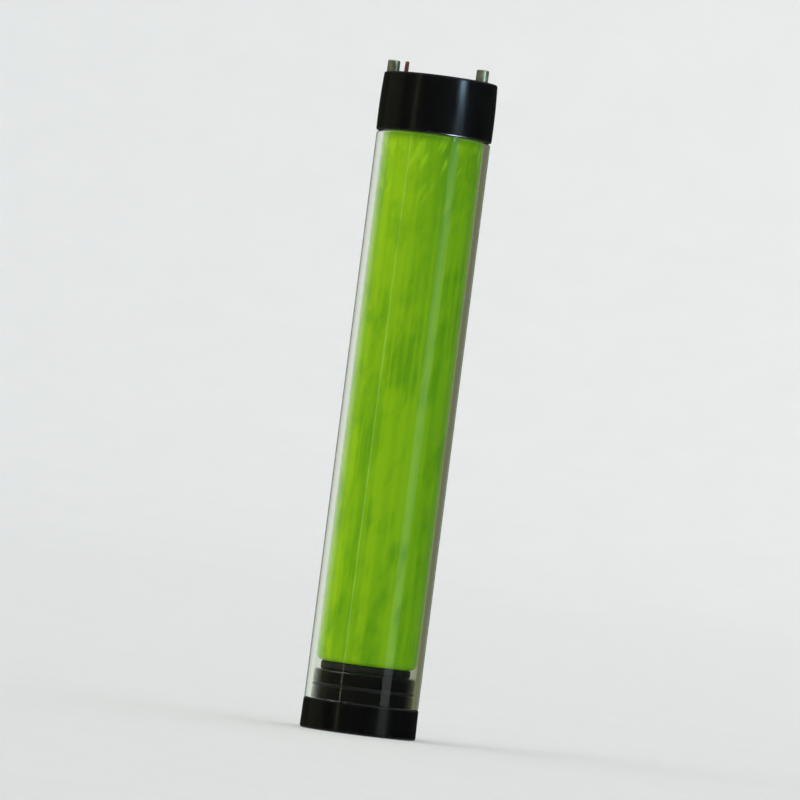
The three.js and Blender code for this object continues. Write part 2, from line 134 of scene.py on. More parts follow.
def rounded(outline, fillet, arc_steps=5, support=0.12):
    """The outline of (radius, height[, own fillet]) corners as points, each corner turned to an arc.
    It is open if it starts on the axis, and closed otherwise. Long sides get a row close to each end,
    which keeps the shading of the arcs off them."""
    nearly_straight = math.radians(88)
    most_of_side = 0.48
    closed = outline[0][0] > 0
    count = len(outline)
    points = []
    for i, corner in enumerate(outline):
        here = Vector(corner[:2])
        if not closed and i in (0, count - 1):
            points.append(here)
            continue
        before = Vector(outline[i - 1][:2]) - here
        after = Vector(outline[(i + 1) % count][:2]) - here
        shortest = min(before.length, after.length)
        before.normalize()
        after.normalize()
        half = before.angle(after) / 2
        size = corner[2] if len(corner) > 2 else fillet
        if size == 0 or half > nearly_straight:
            points.append(here)
            continue
        tangent = min(size / math.tan(half), most_of_side * shortest)
        centre = here + (before + after).normalized() * (tangent / math.cos(half))
        arm = here + before * tangent - centre
        sweep = arm.angle_signed(here + after * tangent - centre)
        for step in range(arc_steps + 1):
            turn = Matrix.Rotation(-sweep * step / arc_steps, 2)
            points.append(centre + turn @ arm)
    return supported(points, support, closed)


def supported(points, support, closed):
    """The points with one more near each end of every long side."""
    long_side = 6 * support
    result = []
    sides = len(points) if closed else len(points) - 1
    for i in range(sides):
        start = points[i]
        side = points[(i + 1) % len(points)] - start
        result.append(start)
        if side.length > long_side:
            inset = side.normalized() * support
            result += [start + inset, start + side - inset]
    return result if closed else [*result, points[-1]]


def refined(points, wall, low, high):
    """The outline with rows ROW apart on its upright sides at one radius, between two heights."""
    result = []
    for i, point in enumerate(points):
        result.append(point)
        after = points[(i + 1) % len(points)]
        on_wall = abs(point.x - wall) < ON_WALL and abs(after.x - wall) < ON_WALL
        lower, upper = min(point.y, after.y), max(point.y, after.y)
        if on_wall and low <= lower + ROW and upper <= high + ROW:
            rows = max(1, round((upper - lower) / ROW))
            result += [point.lerp(after, row / rows) for row in range(1, rows)]
    return result


def crowned_wall(low_radius, low, high_radius, high, crown, fillets, steps=8):
    """Corners up a wall that bulges a little between its ends, where the low and high fillets are."""
    corners = []
    for step in range(steps + 1):
        share = step / steps
        bulge = crown * (1 - (2 * share - 1) ** 2)
        reach = low_radius + (high_radius - low_radius) * share + bulge
        fillet = fillets[0] if step == 0 else fillets[1] if step == steps else 0
        corners.append((reach, low + (high - low) * share, fillet))
    return corners


def ring_outline(centre_radius, height, cord, steps=24):
    """A round cord's section, with the faint flash line that a mould leaves inside and outside it."""
    flash = 0.02
    points = []
    for step in range(steps):
        angle = FULL_TURN * step / steps
        reach = cord + (flash if step % (steps // 2) == 0 else 0)
        x = centre_radius + reach * math.cos(angle)
        y = height + reach * math.sin(angle)
        points.append(Vector((x, y)))
    return points


# ---- Warps: functions of (angle, radius, height) that give a turned point a new radius ----


def screw_thread(wall, rise, start, turns=THREAD_TURNS, lead=THREAD_LEAD, base=0.6, crest=0.35):
    """A right-handed ridge on the wall at one radius. rise is negative on an inside wall. base and
    crest are half the ridge's height along the axis at its foot and at its top."""
    fade = 0.6  # radians over which the ridge runs out at each end
    sweep = turns * FULL_TURN

    def warp(angle, reach, height):
        if abs(reach - wall) > ON_WALL:
            return reach
        share = 0
        along = angle
        while along < sweep:
            off = abs(height - start - lead * along / FULL_TURN)
            flank = min(max((base - off) / (base - crest), 0), 1)
            fading = min(1, along / fade, (sweep - along) / fade)
            share = max(share, flank * flank * (3 - 2 * flank) * fading)
            along += FULL_TURN
        return reach + rise * share

    return warp


def hexagon_at(flat, low, high, chamfer=0):
    """Turns the circle at radius flat into a hexagon with that distance from its axis to each flat,
    between two heights. A chamfer slopes the corners off towards both heights."""
    near_flat = 0.06
    slack = 0.01

    def warp(angle, reach, height):
        if abs(reach - flat) > near_flat or not low - slack <= height <= high + slack:
            return reach
        sector = angle % (math.pi / 3) - math.pi / 6
        corner = reach / math.cos(sector)
        if chamfer:
            corner = min(corner, flat + chamfer * (ROW + min(height - low, high - height)))
        return corner

    return warp


def diamond_knurl(wall, bands, depth=0.14, teeth=30, lead=5.0):
    """Two crossed sets of small ridges on the wall at one radius, in bands between pairs of heights."""

    def ridge(angle):
        return abs(math.sin(angle * teeth / 2))

    def warp(angle, reach, height):
        if abs(reach - wall) > ON_WALL or not any(low < height < high for low, high in bands):
            return reach
        slant = FULL_TURN * height / lead
        return reach - depth * (1 - ridge(angle + slant) * ridge(angle - slant))

    return warp


# ---- Meshes ----------------------------------------------------------------------

# What the reflected lamps may light: only the cap and its prongs, or all but the lime cup.
CAP_PIECES = bpy.data.collections.new("cap pieces")
MIRRORS = bpy.data.collections.new("mirrors")


def spun(points, columns=ROUND, warp=None, centre=(0, 0)):
    """A closed mesh of revolution about an upright axis."""
    vertices = []
    rows = []
    for point in points:
        first = len(vertices)
        if point.x < ON_AXIS:
            rows.append([first] * columns)
            vertices.append((centre[0] * MM, centre[1] * MM, point.y * MM))
            continue
        rows.append(list(range(first, first + columns)))
        for column in range(columns):
            angle = FULL_TURN * column / columns
            reach = warp(angle, point.x, point.y) if warp else point.x
            x = centre[0] + reach * math.cos(angle)
            y = centre[1] + reach * math.sin(angle)
            vertices.append((x * MM, y * MM, point.y * MM))
    if points[0].x > ON_AXIS:
        rows.append(rows[0])
    faces = []
    for lower, upper in zip(rows, rows[1:]):
        for column in range(columns):
            after = (column + 1) % columns
            corners = (lower[column], lower[after], upper[after], upper[column])
            faces.append(tuple(dict.fromkeys(corners)))
    mesh = bpy.data.meshes.new("spun")
    mesh.from_pydata(vertices, [], faces)
    return mesh


def swept(sections):
    """The vertices and faces of a bar through a list of equal rings of points, in millimetres."""
    sides = len(sections[0])
    vertices = [tuple(Vector(point) * MM) for section in sections for point in section]
    faces = []
    for row in range(len(sections) - 1):
        for side in range(sides):
            after = (side + 1) % sides
            low, high = row * sides, (row + 1) * sides
            faces.append((low + side, low + after, high + after, high + side))
    last = (len(sections) - 1) * sides
    faces.append(tuple(reversed(range(sides))))
    faces.append(tuple(range(last, last + sides)))
    return vertices, faces


def combined(body, tools, operation):
    """The body mesh joined with, or cut by, closed tool meshes."""
    target = bpy.data.objects.new("target", body)
    helpers = [bpy.data.objects.new("tool", tool) for tool in tools]
    for helper in [target, *helpers]:
        bpy.context.scene.collection.objects.link(helper)
    for helper in helpers:
        modifier = target.modifiers.new("combine", "BOOLEAN")
        modifier.operation = operation
        modifier.object = helper
        modifier.solver = "MANIFOLD"
    depsgraph = bpy.context.evaluated_depsgraph_get()
    result = bpy.data.meshes.new_from_object(target.evaluated_get(depsgraph))
    for helper in [target, *helpers]:
        bpy.data.objects.remove(helper)
    return result


def piece(name, node, mesh, material, sharp=35):
    """Shows a mesh in place of its CAD node, smooth but for edges sharper than an angle."""
    mesh.name = name
    mesh.materials.clear()
    mesh.materials.append(material)
    mesh.shade_smooth()
    mesh.set_sharp_from_angle(angle=math.radians(sharp))
    shown = bpy.data.objects.new(name, mesh)
    bpy.context.scene.collection.objects.link(shown)
    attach(shown, BODY_OF[node])
    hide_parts(node)
    if node in ("cap_shell", "prong_left", "prong_right"):
        CAP_PIECES.objects.link(shown)
    if node != "sample_cup":
        MIRRORS.objects.link(shown)


# ---- Material helpers ------------------------------------------------------------


def new_material(name, **sockets):
    """A material with one Principled shader, its constant sockets set by name with _ for a space."""
    material = bpy.data.materials.new(name)
    material.use_nodes = True
    shader = material.node_tree.nodes["Principled BSDF"]
    for socket, value in sockets.items():
        shader.inputs[socket.replace("_", " ")].default_value = value
    return material, material.node_tree, shader


def add_node(tree, kind, settings=(), **inputs):
    """A node with its settings, and its inputs set or linked by name with _ for a space."""
    node = tree.nodes.new(kind)
    for name, value in dict(settings).items():
        setattr(node, name, value)
    for name, value in inputs.items():
        socket = node.inputs[name.replace("_", " ")]
        if isinstance(value, bpy.types.NodeSocket):
            tree.links.new(value, socket)
        else:
            socket.default_value = value
    return node


def place(tree, stretch=(1, 1, 1), slant=0.0):
    """Object coordinates in millimetres, leant over to the right and scaled along each axis."""
    point = add_node(tree, "ShaderNodeTexCoord").outputs["Object"]
    if slant:
        lean = (0, -math.radians(slant), 0)
        point = add_node(tree, "ShaderNodeMapping", Vector=point, Rotation=lean).outputs[0]
    scale = [s / MM for s in stretch]
    return add_node(tree, "ShaderNodeMapping", Vector=point, Scale=scale).outputs[0]


def noise(tree, size, stretch=(1, 1, 1), detail=3.0, roughness=0.55, slant=0.0, seed=0.0):
    """Noise whose features are about size millimetres across. A stretch below 1 draws them out."""
    inputs = {"Scale": 1 / size, "Detail": detail, "Roughness": roughness, "W": seed}
    inputs["Vector"] = place(tree, stretch, slant)
    return add_node(tree, "ShaderNodeTexNoise", {"noise_dimensions": "4D"}, **inputs).outputs["Fac"]


def spread(tree, value, low, high, start=0.3, end=0.7):
    """A value between start and end spread to low and high."""
    inputs = {"Value": value, "From_Min": start, "From_Max": end, "To_Min": low, "To_Max": high}
    return add_node(tree, "ShaderNodeMapRange", **inputs).outputs["Result"]


def blended(tree, factor, first, second):
    """Two colours mixed by a factor. Each is three numbers or a socket."""
    node = tree.nodes.new("ShaderNodeMix")
    node.data_type = "RGBA"
    tree.links.new(factor, node.inputs["Factor"])
    for socket, colour in ((node.inputs[6], first), (node.inputs[7], second)):
        if isinstance(colour, bpy.types.NodeSocket):
            tree.links.new(colour, socket)
        else:
            socket.default_value = (*colour, 1)
    return node.outputs[2]


def maths(tree, operation, first, second=0.0):
    node = tree.nodes.new("ShaderNodeMath")
    node.operation = operation
    for socket, value in zip(node.inputs, (first, second)):
        if isinstance(value, bpy.types.NodeSocket):
            tree.links.new(value, socket)
        else:
            socket.default_value = value
    return node.outputs[0]


def bumped(tree, height, depth, normal=None):
    """A normal from a height that stands depth millimetres proud where it is 1."""
    node = add_node(tree, "ShaderNodeBump", Height=height, Strength=1.0, Distance=depth * MM)
    if normal:
        tree.links.new(normal, node.inputs["Normal"])
    return node.outputs["Normal"]


def near_height(tree, height, reach):
    """1 at a height in millimetres, falling to 0 at reach from it."""
    coordinates = add_node(tree, "ShaderNodeTexCoord")
    z = add_node(tree, "ShaderNodeSeparateXYZ", Vector=coordinates.outputs["Object"]).outputs["Z"]
    away = maths(tree, "ABSOLUTE", maths(tree, "SUBTRACT", z, height * MM))
    return spread(tree, away, 1, 0, 0, reach * MM)


def near_ring(tree, ring_radius, height, reach):
    """1 at a ring round the axis, falling to 0 at reach from it. All are in millimetres."""
    point = add_node(tree, "ShaderNodeTexCoord").outputs["Object"]
    level = add_node(tree, "ShaderNodeSeparateXYZ", Vector=point)
    x, y, z = (level.outputs[axis] for axis in "XYZ")
    flat = add_node(tree, "ShaderNodeCombineXYZ", X=x, Y=y).outputs[0]
    from_axis = tree.nodes.new("ShaderNodeVectorMath")
    from_axis.operation = "LENGTH"
    tree.links.new(flat, from_axis.inputs[0])
    off_ring = maths(tree, "SUBTRACT", from_axis.outputs["Value"], ring_radius * MM)
    off_level = maths(tree, "SUBTRACT", z, height * MM)
    away = maths(tree, "MAXIMUM", maths(tree, "ABSOLUTE", off_ring), maths(tree, "ABSOLUTE", off_level))
    return spread(tree, away, 1, 0, 0, reach * MM)


def connect(tree, shader, **sockets):
    """Links values to the shader's sockets, named with _ for a space."""
    for socket, value in sockets.items():
        tree.links.new(value, shader.inputs[socket.replace("_", " ")])


# ---- Materials -------------------------------------------------------------------


def gloss_black(worn_rings):
    """Polished black plastic: soft smudges, faint upright wipe marks and small scuffs along edges."""
    wear_reach = 0.9
    matt_black, grey_black = (0.0018, 0.0018, 0.0020), (0.0042, 0.0043, 0.0046)
    scuffed = (0.045, 0.046, 0.048)
    material, tree, shader = new_material("gloss_black", IOR=1.46, Specular_IOR_Level=0.4)
    smudges = noise(tree, 9.0, detail=4.0)
    wipes = noise(tree, 1.1, (1, 1, 0.06), detail=5.0, roughness=0.7)
    grain = noise(tree, 0.35, detail=2.0)
    scuff = noise(tree, 0.9, (1, 1, 2.2), detail=6.0, roughness=0.75)
    edge = near_ring(tree, *worn_rings[0], wear_reach)
    for ring in worn_rings[1:]:
        edge = maths(tree, "MAXIMUM", edge, near_ring(tree, *ring, wear_reach))
    worn = maths(tree, "MULTIPLY", edge, spread(tree, scuff, 0, 1, 0.5, 0.68))
    base = blended(tree, spread(tree, wipes, 0, 1), matt_black, grey_black)
    polish = maths(tree, "ADD", spread(tree, smudges, 0.13, 0.22), spread(tree, wipes, 0.0, 0.08))
    connect(
        tree,
        shader,
        Base_Color=blended(tree, worn, base, scuffed),
        Roughness=maths(tree, "ADD", polish, maths(tree, "MULTIPLY", worn, 0.3)),
        Normal=bumped(tree, grain, 0.002, bumped(tree, wipes, 0.008, bumped(tree, smudges, 0.02))),
    )
    return material


def satin_black():
    """Moulded engineering plastic with a fine spark texture."""
    material, tree, shader = new_material("satin_black", IOR=1.5)
    grain = noise(tree, 0.16, detail=3.0)
    patches = noise(tree, 4.0)
    dark, pale = (0.016, 0.0165, 0.018), (0.026, 0.027, 0.029)
    connect(
        tree,
        shader,
        Base_Color=blended(tree, spread(tree, patches, 0, 1), dark, pale),
        Roughness=spread(tree, grain, 0.38, 0.5),
        Normal=bumped(tree, grain, 0.012),
    )
    return material


def clear_acrylic():
    """A drawn clear tube: nearly invisible upright die lines, and faint handling haze."""
    material, tree, shader = new_material("clear_acrylic", IOR=1.49, Transmission_Weight=1.0)
    lines = noise(tree, 0.8, (1, 1, 0.008), detail=4.0, roughness=0.65)
    haze = noise(tree, 6.0, (1, 1, 0.4), detail=5.0, roughness=0.7)
    rubbed = noise(tree, 0.5, (1, 1, 0.12), detail=6.0, roughness=0.8)
    rubs = spread(tree, rubbed, 0, 1, 0.6, 0.75)
    marks = maths(tree, "MULTIPLY", rubs, spread(tree, haze, 0, 1, 0.45, 0.7))
    tinted, clear = (0.955, 0.975, 0.955), (0.99, 0.995, 0.985)
    connect(
        tree,
        shader,
        Base_Color=blended(tree, spread(tree, lines, 0, 1), tinted, clear),
        Roughness=maths(tree, "MULTIPLY", marks, 0.14),
        Normal=bumped(tree, lines, 0.005, bumped(tree, haze, 0.002)),
    )
    return material


def lime_plastic():
    """Fluorescent lime plastic, half clear, with drawn streaks along the cup. Near its top are paler
    slanted streaks of painted light that stand for reflections refracted through the tube, and just
    under the cap's edge a dark band of painted shadow from the cap. A faint emission is a painted glow
    for the fluorescence."""
    band_seed = 3.0
    cloud_seed = 2.0
    material, tree, shader = new_material(
        "lime_plastic",
        IOR=1.49,
        Specular_IOR_Level=0.2,
        Transmission_Weight=0.22,
        Subsurface_Weight=0.3,
        Subsurface_Scale=0.0016,
        Subsurface_Radius=(0.8, 1.0, 0.15),
        # a faint painted glow, standing in for the plastic's fluorescence
        Emission_Color=(0.24, 0.56, 0.004, 1),
        Emission_Strength=0.12,
    )
    bands = noise(tree, 5.0, (1, 1, 0.02), detail=2.0, seed=band_seed)
    streaks = noise(tree, 1.5, (1, 1, 0.03), detail=3.0)
    lines = noise(tree, 0.5, (1, 1, 0.02), detail=3.0, roughness=0.6)
    clouds = noise(tree, 6.0, (1, 1, 0.4), detail=3.0, slant=12, seed=cloud_seed)
    # painted light: paler slanted streaks near the top that stand for reflections refracted through the
    # tube
    painted_streak_noise = noise(tree, 2.2, (1, 1, 0.2), detail=2.0, roughness=0.4, slant=20, seed=cloud_seed)
    deep, mid = (0.10, 0.37, 0.003), (0.18, 0.47, 0.004)
    pale, painted_streak_light = (0.37, 0.68, 0.006), (0.50, 0.85, 0.02)
    # painted shadow: the cap's shade, a darker lime just under its edge
    painted_cap_shadow = (0.06, 0.22, 0.002)
    shade = blended(tree, spread(tree, bands, 0, 1, 0.38, 0.62), mid, pale)
    shade = blended(tree, spread(tree, clouds, 0, 0.7, 0.48, 0.66), shade, deep)
    shade = blended(tree, spread(tree, streaks, 0, 0.55, 0.5, 0.62), shade, pale)
    near_top = near_height(tree, CAP_FOOT - 8, 22)
    marks = maths(tree, "MULTIPLY", spread(tree, painted_streak_noise, 0, 0.75, 0.58, 0.68), near_top)
    with_painted_streaks = blended(tree, marks, shade, painted_streak_light)
    connect(
        tree,
        shader,
        # painted shadow from the cap darkens the lime towards the cap's edge
        Base_Color=blended(tree, near_height(tree, CAP_FOOT + 2, 5), with_painted_streaks, painted_cap_shadow),
        Roughness=spread(tree, lines, 0.12, 0.24),
        Normal=bumped(tree, lines, 0.006, bumped(tree, streaks, 0.02)),
    )
    return material


def turned_steel():
    """Turned stainless steel: fine marks round the axis, dulled by handling and a little fuel film."""
    material, tree, shader = new_material("turned_steel", Metallic=0.85)
    turning = noise(tree, 0.12, (0.15, 0.15, 1), detail=3.0, roughness=0.7)
    film = noise(tree, 1.4, detail=4.0, roughness=0.65)
    pits = noise(tree, 0.22, detail=5.0, roughness=0.75)
    worn = spread(tree, pits, 0, 1, 0.58, 0.74)
    filmed, bright, pitted = (0.37, 0.385, 0.25), (0.54, 0.55, 0.39), (0.17, 0.165, 0.13)
    tone = blended(tree, spread(tree, film, 0, 1, 0.35, 0.65), filmed, bright)
    connect(
        tree,
        shader,
        Base_Color=blended(tree, worn, tone, pitted),
        Roughness=maths(tree, "ADD", spread(tree, film, 0.27, 0.42), maths(tree, "MULTIPLY", worn, 0.2)),
        Normal=bumped(tree, turning, 0.004, bumped(tree, pits, 0.006)),
    )
    return material


def gauze_wire():
    """Drawn stainless wire, a little tarnished."""
    material, tree, shader = new_material("gauze_wire", Metallic=1.0)
    tarnish = noise(tree, 1.2, detail=4.0)
    drawn = noise(tree, 0.08, detail=2.0)
    dull, bright = (0.40, 0.39, 0.35), (0.56, 0.56, 0.53)
    connect(
        tree,
        shader,
        Base_Color=blended(tree, spread(tree, tarnish, 0, 1), dull, bright),
        Roughness=spread(tree, drawn, 0.24, 0.4),
    )
    return material


def brass():
    """Turned brass with a brown tarnish."""
    material, tree, shader = new_material("brass", Metallic=1.0)
    tarnish = noise(tree, 1.0, detail=4.0)
    turning = noise(tree, 0.1, (0.2, 0.2, 1), detail=3.0)
    brown, yellow = (0.42, 0.27, 0.09), (0.62, 0.44, 0.18)
    connect(
        tree,
        shader,
        Base_Color=blended(tree, spread(tree, tarnish, 0, 1), brown, yellow),
        Roughness=spread(tree, tarnish, 0.25, 0.42),
        Normal=bumped(tree, turning, 0.004),
    )
    return material


def fuel_rubber():
    """Moulded black rubber with a fine matt grain and a little bloom."""
    material, tree, shader = new_material("fuel_rubber", IOR=1.5, Specular_IOR_Level=0.35)
    grain = noise(tree, 0.12, detail=3.0)
    bloom = noise(tree, 2.2, detail=4.0)
    black, bloomed = (0.010, 0.010, 0.011), (0.022, 0.022, 0.023)
    connect(
        tree,
        shader,
        Base_Color=blended(tree, spread(tree, bloom, 0, 1), black, bloomed),
        Roughness=spread(tree, grain, 0.55, 0.78),
        Normal=bumped(tree, grain, 0.01),
    )
    return material


def faded_red():
    """Dull dark red plastic, paler and rougher where fingers have pulled at it."""
    glow = {"Subsurface_Weight": 0.1, "Subsurface_Scale": 0.0005}
    material, tree, shader = new_material("faded_red", IOR=1.5, **glow)
    grain = noise(tree, 0.1, detail=3.0)
    fading = noise(tree, 0.9, detail=4.0, roughness=0.65)
    top_edge = near_height(tree, top("vent_plug"), 1.2)
    pulled = maths(tree, "MULTIPLY", top_edge, spread(tree, fading, 0, 1, 0.4, 0.65))
    deep_red, red, rubbed_red = (0.155, 0.026, 0.018), (0.23, 0.042, 0.03), (0.27, 0.10, 0.075)
    base = blended(tree, spread(tree, fading, 0, 1), deep_red, red)
    connect(
        tree,
        shader,
        Base_Color=blended(tree, pulled, base, rubbed_red),
        Roughness=spread(tree, grain, 0.36, 0.55),
        Normal=bumped(tree, grain, 0.008),
    )
    return material


# The edges that wear, as (radius, height).
CAP_EDGES = [(16.8, CAP_TOP), (11.1, CAP_TOP), (17.3, CAP_FOOT)]
PLUG_EDGES = [(17.2, 0.0), (17.2, foot("outer_tube"))]
black = gloss_black(CAP_EDGES + PLUG_EDGES)
satin = satin_black()
acrylic = clear_acrylic()
lime = lime_plastic()
steel = turned_steel()
wire = gauze_wire()
rubber = fuel_rubber()


# ---- The barrel ------------------------------------------------------------------


def make_outer_tube():
    shoulder = CAP_FOOT - 0.4
    spigot = radius("sample_cup")
    outline = [
        (TUBE_BORE, foot("outer_tube")),
        (radius("outer_tube"), foot("outer_tube")),
        (radius("outer_tube"), shoulder, 0.9),
        (spigot, shoulder, 0.15),
        (spigot, top("outer_tube")),
        (TUBE_BORE, top("outer_tube")),
    ]
    piece("outer_tube_clear", "outer_tube", spun(rounded(outline, 0.25)), acrylic)


def make_sample_cup():
    boss = 5.0
    insert_bore = 3.1
    insert_bore_top = 17.0
    inside = CUP_RADIUS - CUP_WALL
    outline = [
        (0, insert_bore_top),
        (insert_bore, insert_bore_top, 0.3),
        (insert_bore, foot("sample_cup")),
        (boss, foot("sample_cup")),
        (boss, CUP_FLOOR, 0.8),
        (CUP_RADIUS, CUP_FLOOR, 2.0),
        (CUP_RADIUS, CAP_FOOT - 0.4, 0.3),
        (CUP_SHOULDER_RADIUS, CAP_FOOT + 0.4, 0.3),
        (CUP_SHOULDER_RADIUS, FLANGE_Z, 0.1),
        (radius("sample_cup"), FLANGE_Z),
        (radius("sample_cup"), FLANGE_TOP),
        (NECK_RADIUS, FLANGE_TOP, 0.15),
        (NECK_RADIUS, top("sample_cup"), 0.3),
        (NECK_BORE, top("sample_cup"), 0.3),
        (NECK_BORE, FLANGE_Z, 0.8),
        (inside, FLANGE_Z - 2, 0.8),
        (inside, CUP_FLOOR + CUP_WALL, 2.5),
        (0, CUP_FLOOR + CUP_WALL),
    ]
    points = refined(rounded(outline, 0.2), NECK_RADIUS, FLANGE_TOP, top("sample_cup"))
    thread = screw_thread(NECK_RADIUS, 1.15, THREAD_Z)
    piece("sample_cup_lime", "sample_cup", spun(points, warp=thread), lime)


def make_end_plug():
    """A stepped plug with a groove for its O-ring, a well for the screw and a turned line underneath."""
    spigot = TUBE_BORE - 0.15
    shoulder = foot("outer_tube") - GAP
    groove = TUBE_BORE - 1.3
    groove_low, groove_high = 12.6, 14.2
    hollow = 9.0
    well = 4.6
    well_depth = 4.2
    screw_hole = 2.2
    line_in, line_out, line_depth, line_slope = 12.2, 13.4, 0.25, 0.3
    outline = [
        (well, 0, 0.35),
        (line_in, 0, 0.15),
        (line_in + line_slope, line_depth, 0.15),
        (line_out - line_slope, line_depth, 0.15),
        (line_out, 0, 0.15),
        (radius("end_plug"), 0, 0.7),
        (radius("end_plug") - 0.15, shoulder, 0.35),
        (spigot, shoulder, 0.1),
        (spigot, groove_low, 0.1),
        (groove, groove_low, 0.1),
        (groove, groove_high, 0.1),
        (spigot, groove_high, 0.1),
        (spigot, top("end_plug"), 0.6),
        (hollow, top("end_plug"), 0.3),
        (hollow, shoulder, 0.5),
        (screw_hole, shoulder, 0.15),
        (screw_hole, well_depth, 0.15),
        (well, well_depth, 0.15),
    ]
    piece("end_plug_moulded", "end_plug", spun(rounded(outline, 0.2)), black)


def make_end_screw():
    head, head_foot, head_top = radius("end_screw"), foot("end_screw"), 3.4
    socket_flat, socket_depth = 1.5, 1.6
    shank, shank_top = 1.95, top("end_screw")
    pitch = 0.7
    outline = [
        (0, head_foot + socket_depth),
        (socket_flat, head_foot + socket_depth, 0.1),
        (socket_flat, head_foot, 0),
        (socket_flat + 0.5, head_foot, 0),
        (head, head_foot, 0.9),
        (head, head_top, 0.1),
        (shank, head_top, 0.1),
        (shank, shank_top, 0.5),
        (0, shank_top),
    ]
    points = refined(rounded(outline, 0.1), shank, head_top, shank_top)
    turns = (shank_top - head_top - 1.6) / pitch
    thread = screw_thread(shank, -0.35, head_top + 0.8, turns, pitch, 0.3, 0.05)
    socket = hexagon_at(socket_flat, head_foot, head_foot + socket_depth)

    def warp(angle, reach, height):
        return socket(angle, thread(angle, reach, height), height)

    piece("end_screw_socket_head", "end_screw", spun(points, SMALL_ROUND, warp), steel)


def make_thread_insert():
    outer = radius("thread_insert")
    low, high = foot("thread_insert"), top("thread_insert")
    bore = 2.05
    waist = outer - 0.35
    outline = [
        (bore, low, 0.3),
        (outer, low),
        (outer, low + 2.4, 0.1),
        (waist, low + 2.7, 0.1),
        (waist, low + 3.8, 0.1),
        (outer, low + 4.1, 0.1),
        (outer, high),
        (bore, high),
    ]
    points = refined(rounded(outline, 0.15), outer, low, high)
    knurl = diamond_knurl(outer, [(low + 0.3, low + 2.2), (low + 4.3, high - 0.3)])
    piece("thread_insert_knurled", "thread_insert", spun(points, ROUND, knurl), brass())


def make_flat_ring(name, node, inner, material, fillet=0.2):
    """A washer, gasket or pad between its CAD box and an inner radius."""
    outline = [
        (inner, foot(node)),
        (radius(node), foot(node)),
        (radius(node), top(node)),
        (inner, top(node)),
    ]
    columns = ROUND if radius(node) > LARGE_RADIUS else SMALL_ROUND
    piece(name, node, spun(rounded(outline, fillet), columns, centre=axis_of(node)), material)


def make_o_ring(name, node):
    cord = (top(node) - foot(node)) / 2
    outline = ring_outline(radius(node) - cord, foot(node) + cord, cord)
    piece(name, node, spun(outline), rubber)


make_outer_tube()
make_sample_cup()
make_end_plug()
make_end_screw()
make_thread_insert()
make_flat_ring("screw_washer_rubber", "screw_washer", 2.2, rubber, 0.15)
make_flat_ring("cup_cushion_rubber", "cup_cushion", 9.5, rubber, 0.5)
make_o_ring("lower_o_ring_rubber", "lower_o_ring")
make_o_ring("upper_o_ring_rubber", "upper_o_ring")


# ---- The lid insert --------------------------------------------------------------

LIP_BORE = 10.2
LIP_RADIUS = 11.0
COLLAR_BORE = 9.3
COLLAR_RADIUS = 10.3
BEAD_RADIUS = 10.85
PORT_RADIUS = 8.4
HUB_RADIUS = 3.0
HUB_TOP = PLATE_TOP + 0.3
PROBE_HOLE = 1.6


def port_tool(middle):
    """A cutter for one opening between the plate's spokes, with rounded corners, centred on an angle."""
    corner = 0.5
    corner_steps = 6
    inner, outer = HUB_RADIUS + 0.15, PORT_RADIUS
    half_spoke = 0.9
    steps = 14

    def half_width(reach):
        near_end = min(reach - inner, outer - reach)
        inset = corner - math.sqrt(max(0, corner**2 - max(0, corner - near_end) ** 2))
        return math.pi / 4 - math.asin((half_spoke + inset) / reach)

    falls = [corner * math.cos(math.pi / 2 * i / corner_steps) for i in range(corner_steps + 1)]
    reaches = [inner + corner - fall for fall in falls]
    reaches += [outer - fall for fall in falls]
    side = [(reach, half_width(reach)) for reach in reaches]
    outline = [(reach, middle - half) for reach, half in side]
    far = side[-1][1]
    outline += [(outer, middle - far + 2 * far * i / steps) for i in range(1, steps)]
    outline += [(reach, middle + half) for reach, half in reversed(side)]
    near = side[0][1]
    outline += [(inner, middle + near - 2 * near * i / steps) for i in range(1, steps)]
    levels = [
        [(reach * math.cos(angle), reach * math.sin(angle), height) for reach, angle in outline]
        for height in (HUB_Z - 2, CAP_TOP)
    ]
    vertices, faces = swept(levels)
    mesh = bpy.data.meshes.new("port")
    mesh.from_pydata(vertices, [], faces)
    return mesh


def round_tool(hole, low, high, centre=(0, 0), flare=0.0, columns=48):
    """A round cutter. A flare widens its mouth at the upper height by a small chamfer."""
    outline = [(0, low), (hole, low), (hole, high), (0, high)]
    if flare:
        outline[2:] = [(hole, high - flare), (hole + flare + 1, high + 1), (0, high + 1)]
    return spun([Vector(corner) for corner in outline], columns, centre=centre)


def around(reach, angle):
    return reach * math.cos(angle), reach * math.sin(angle)


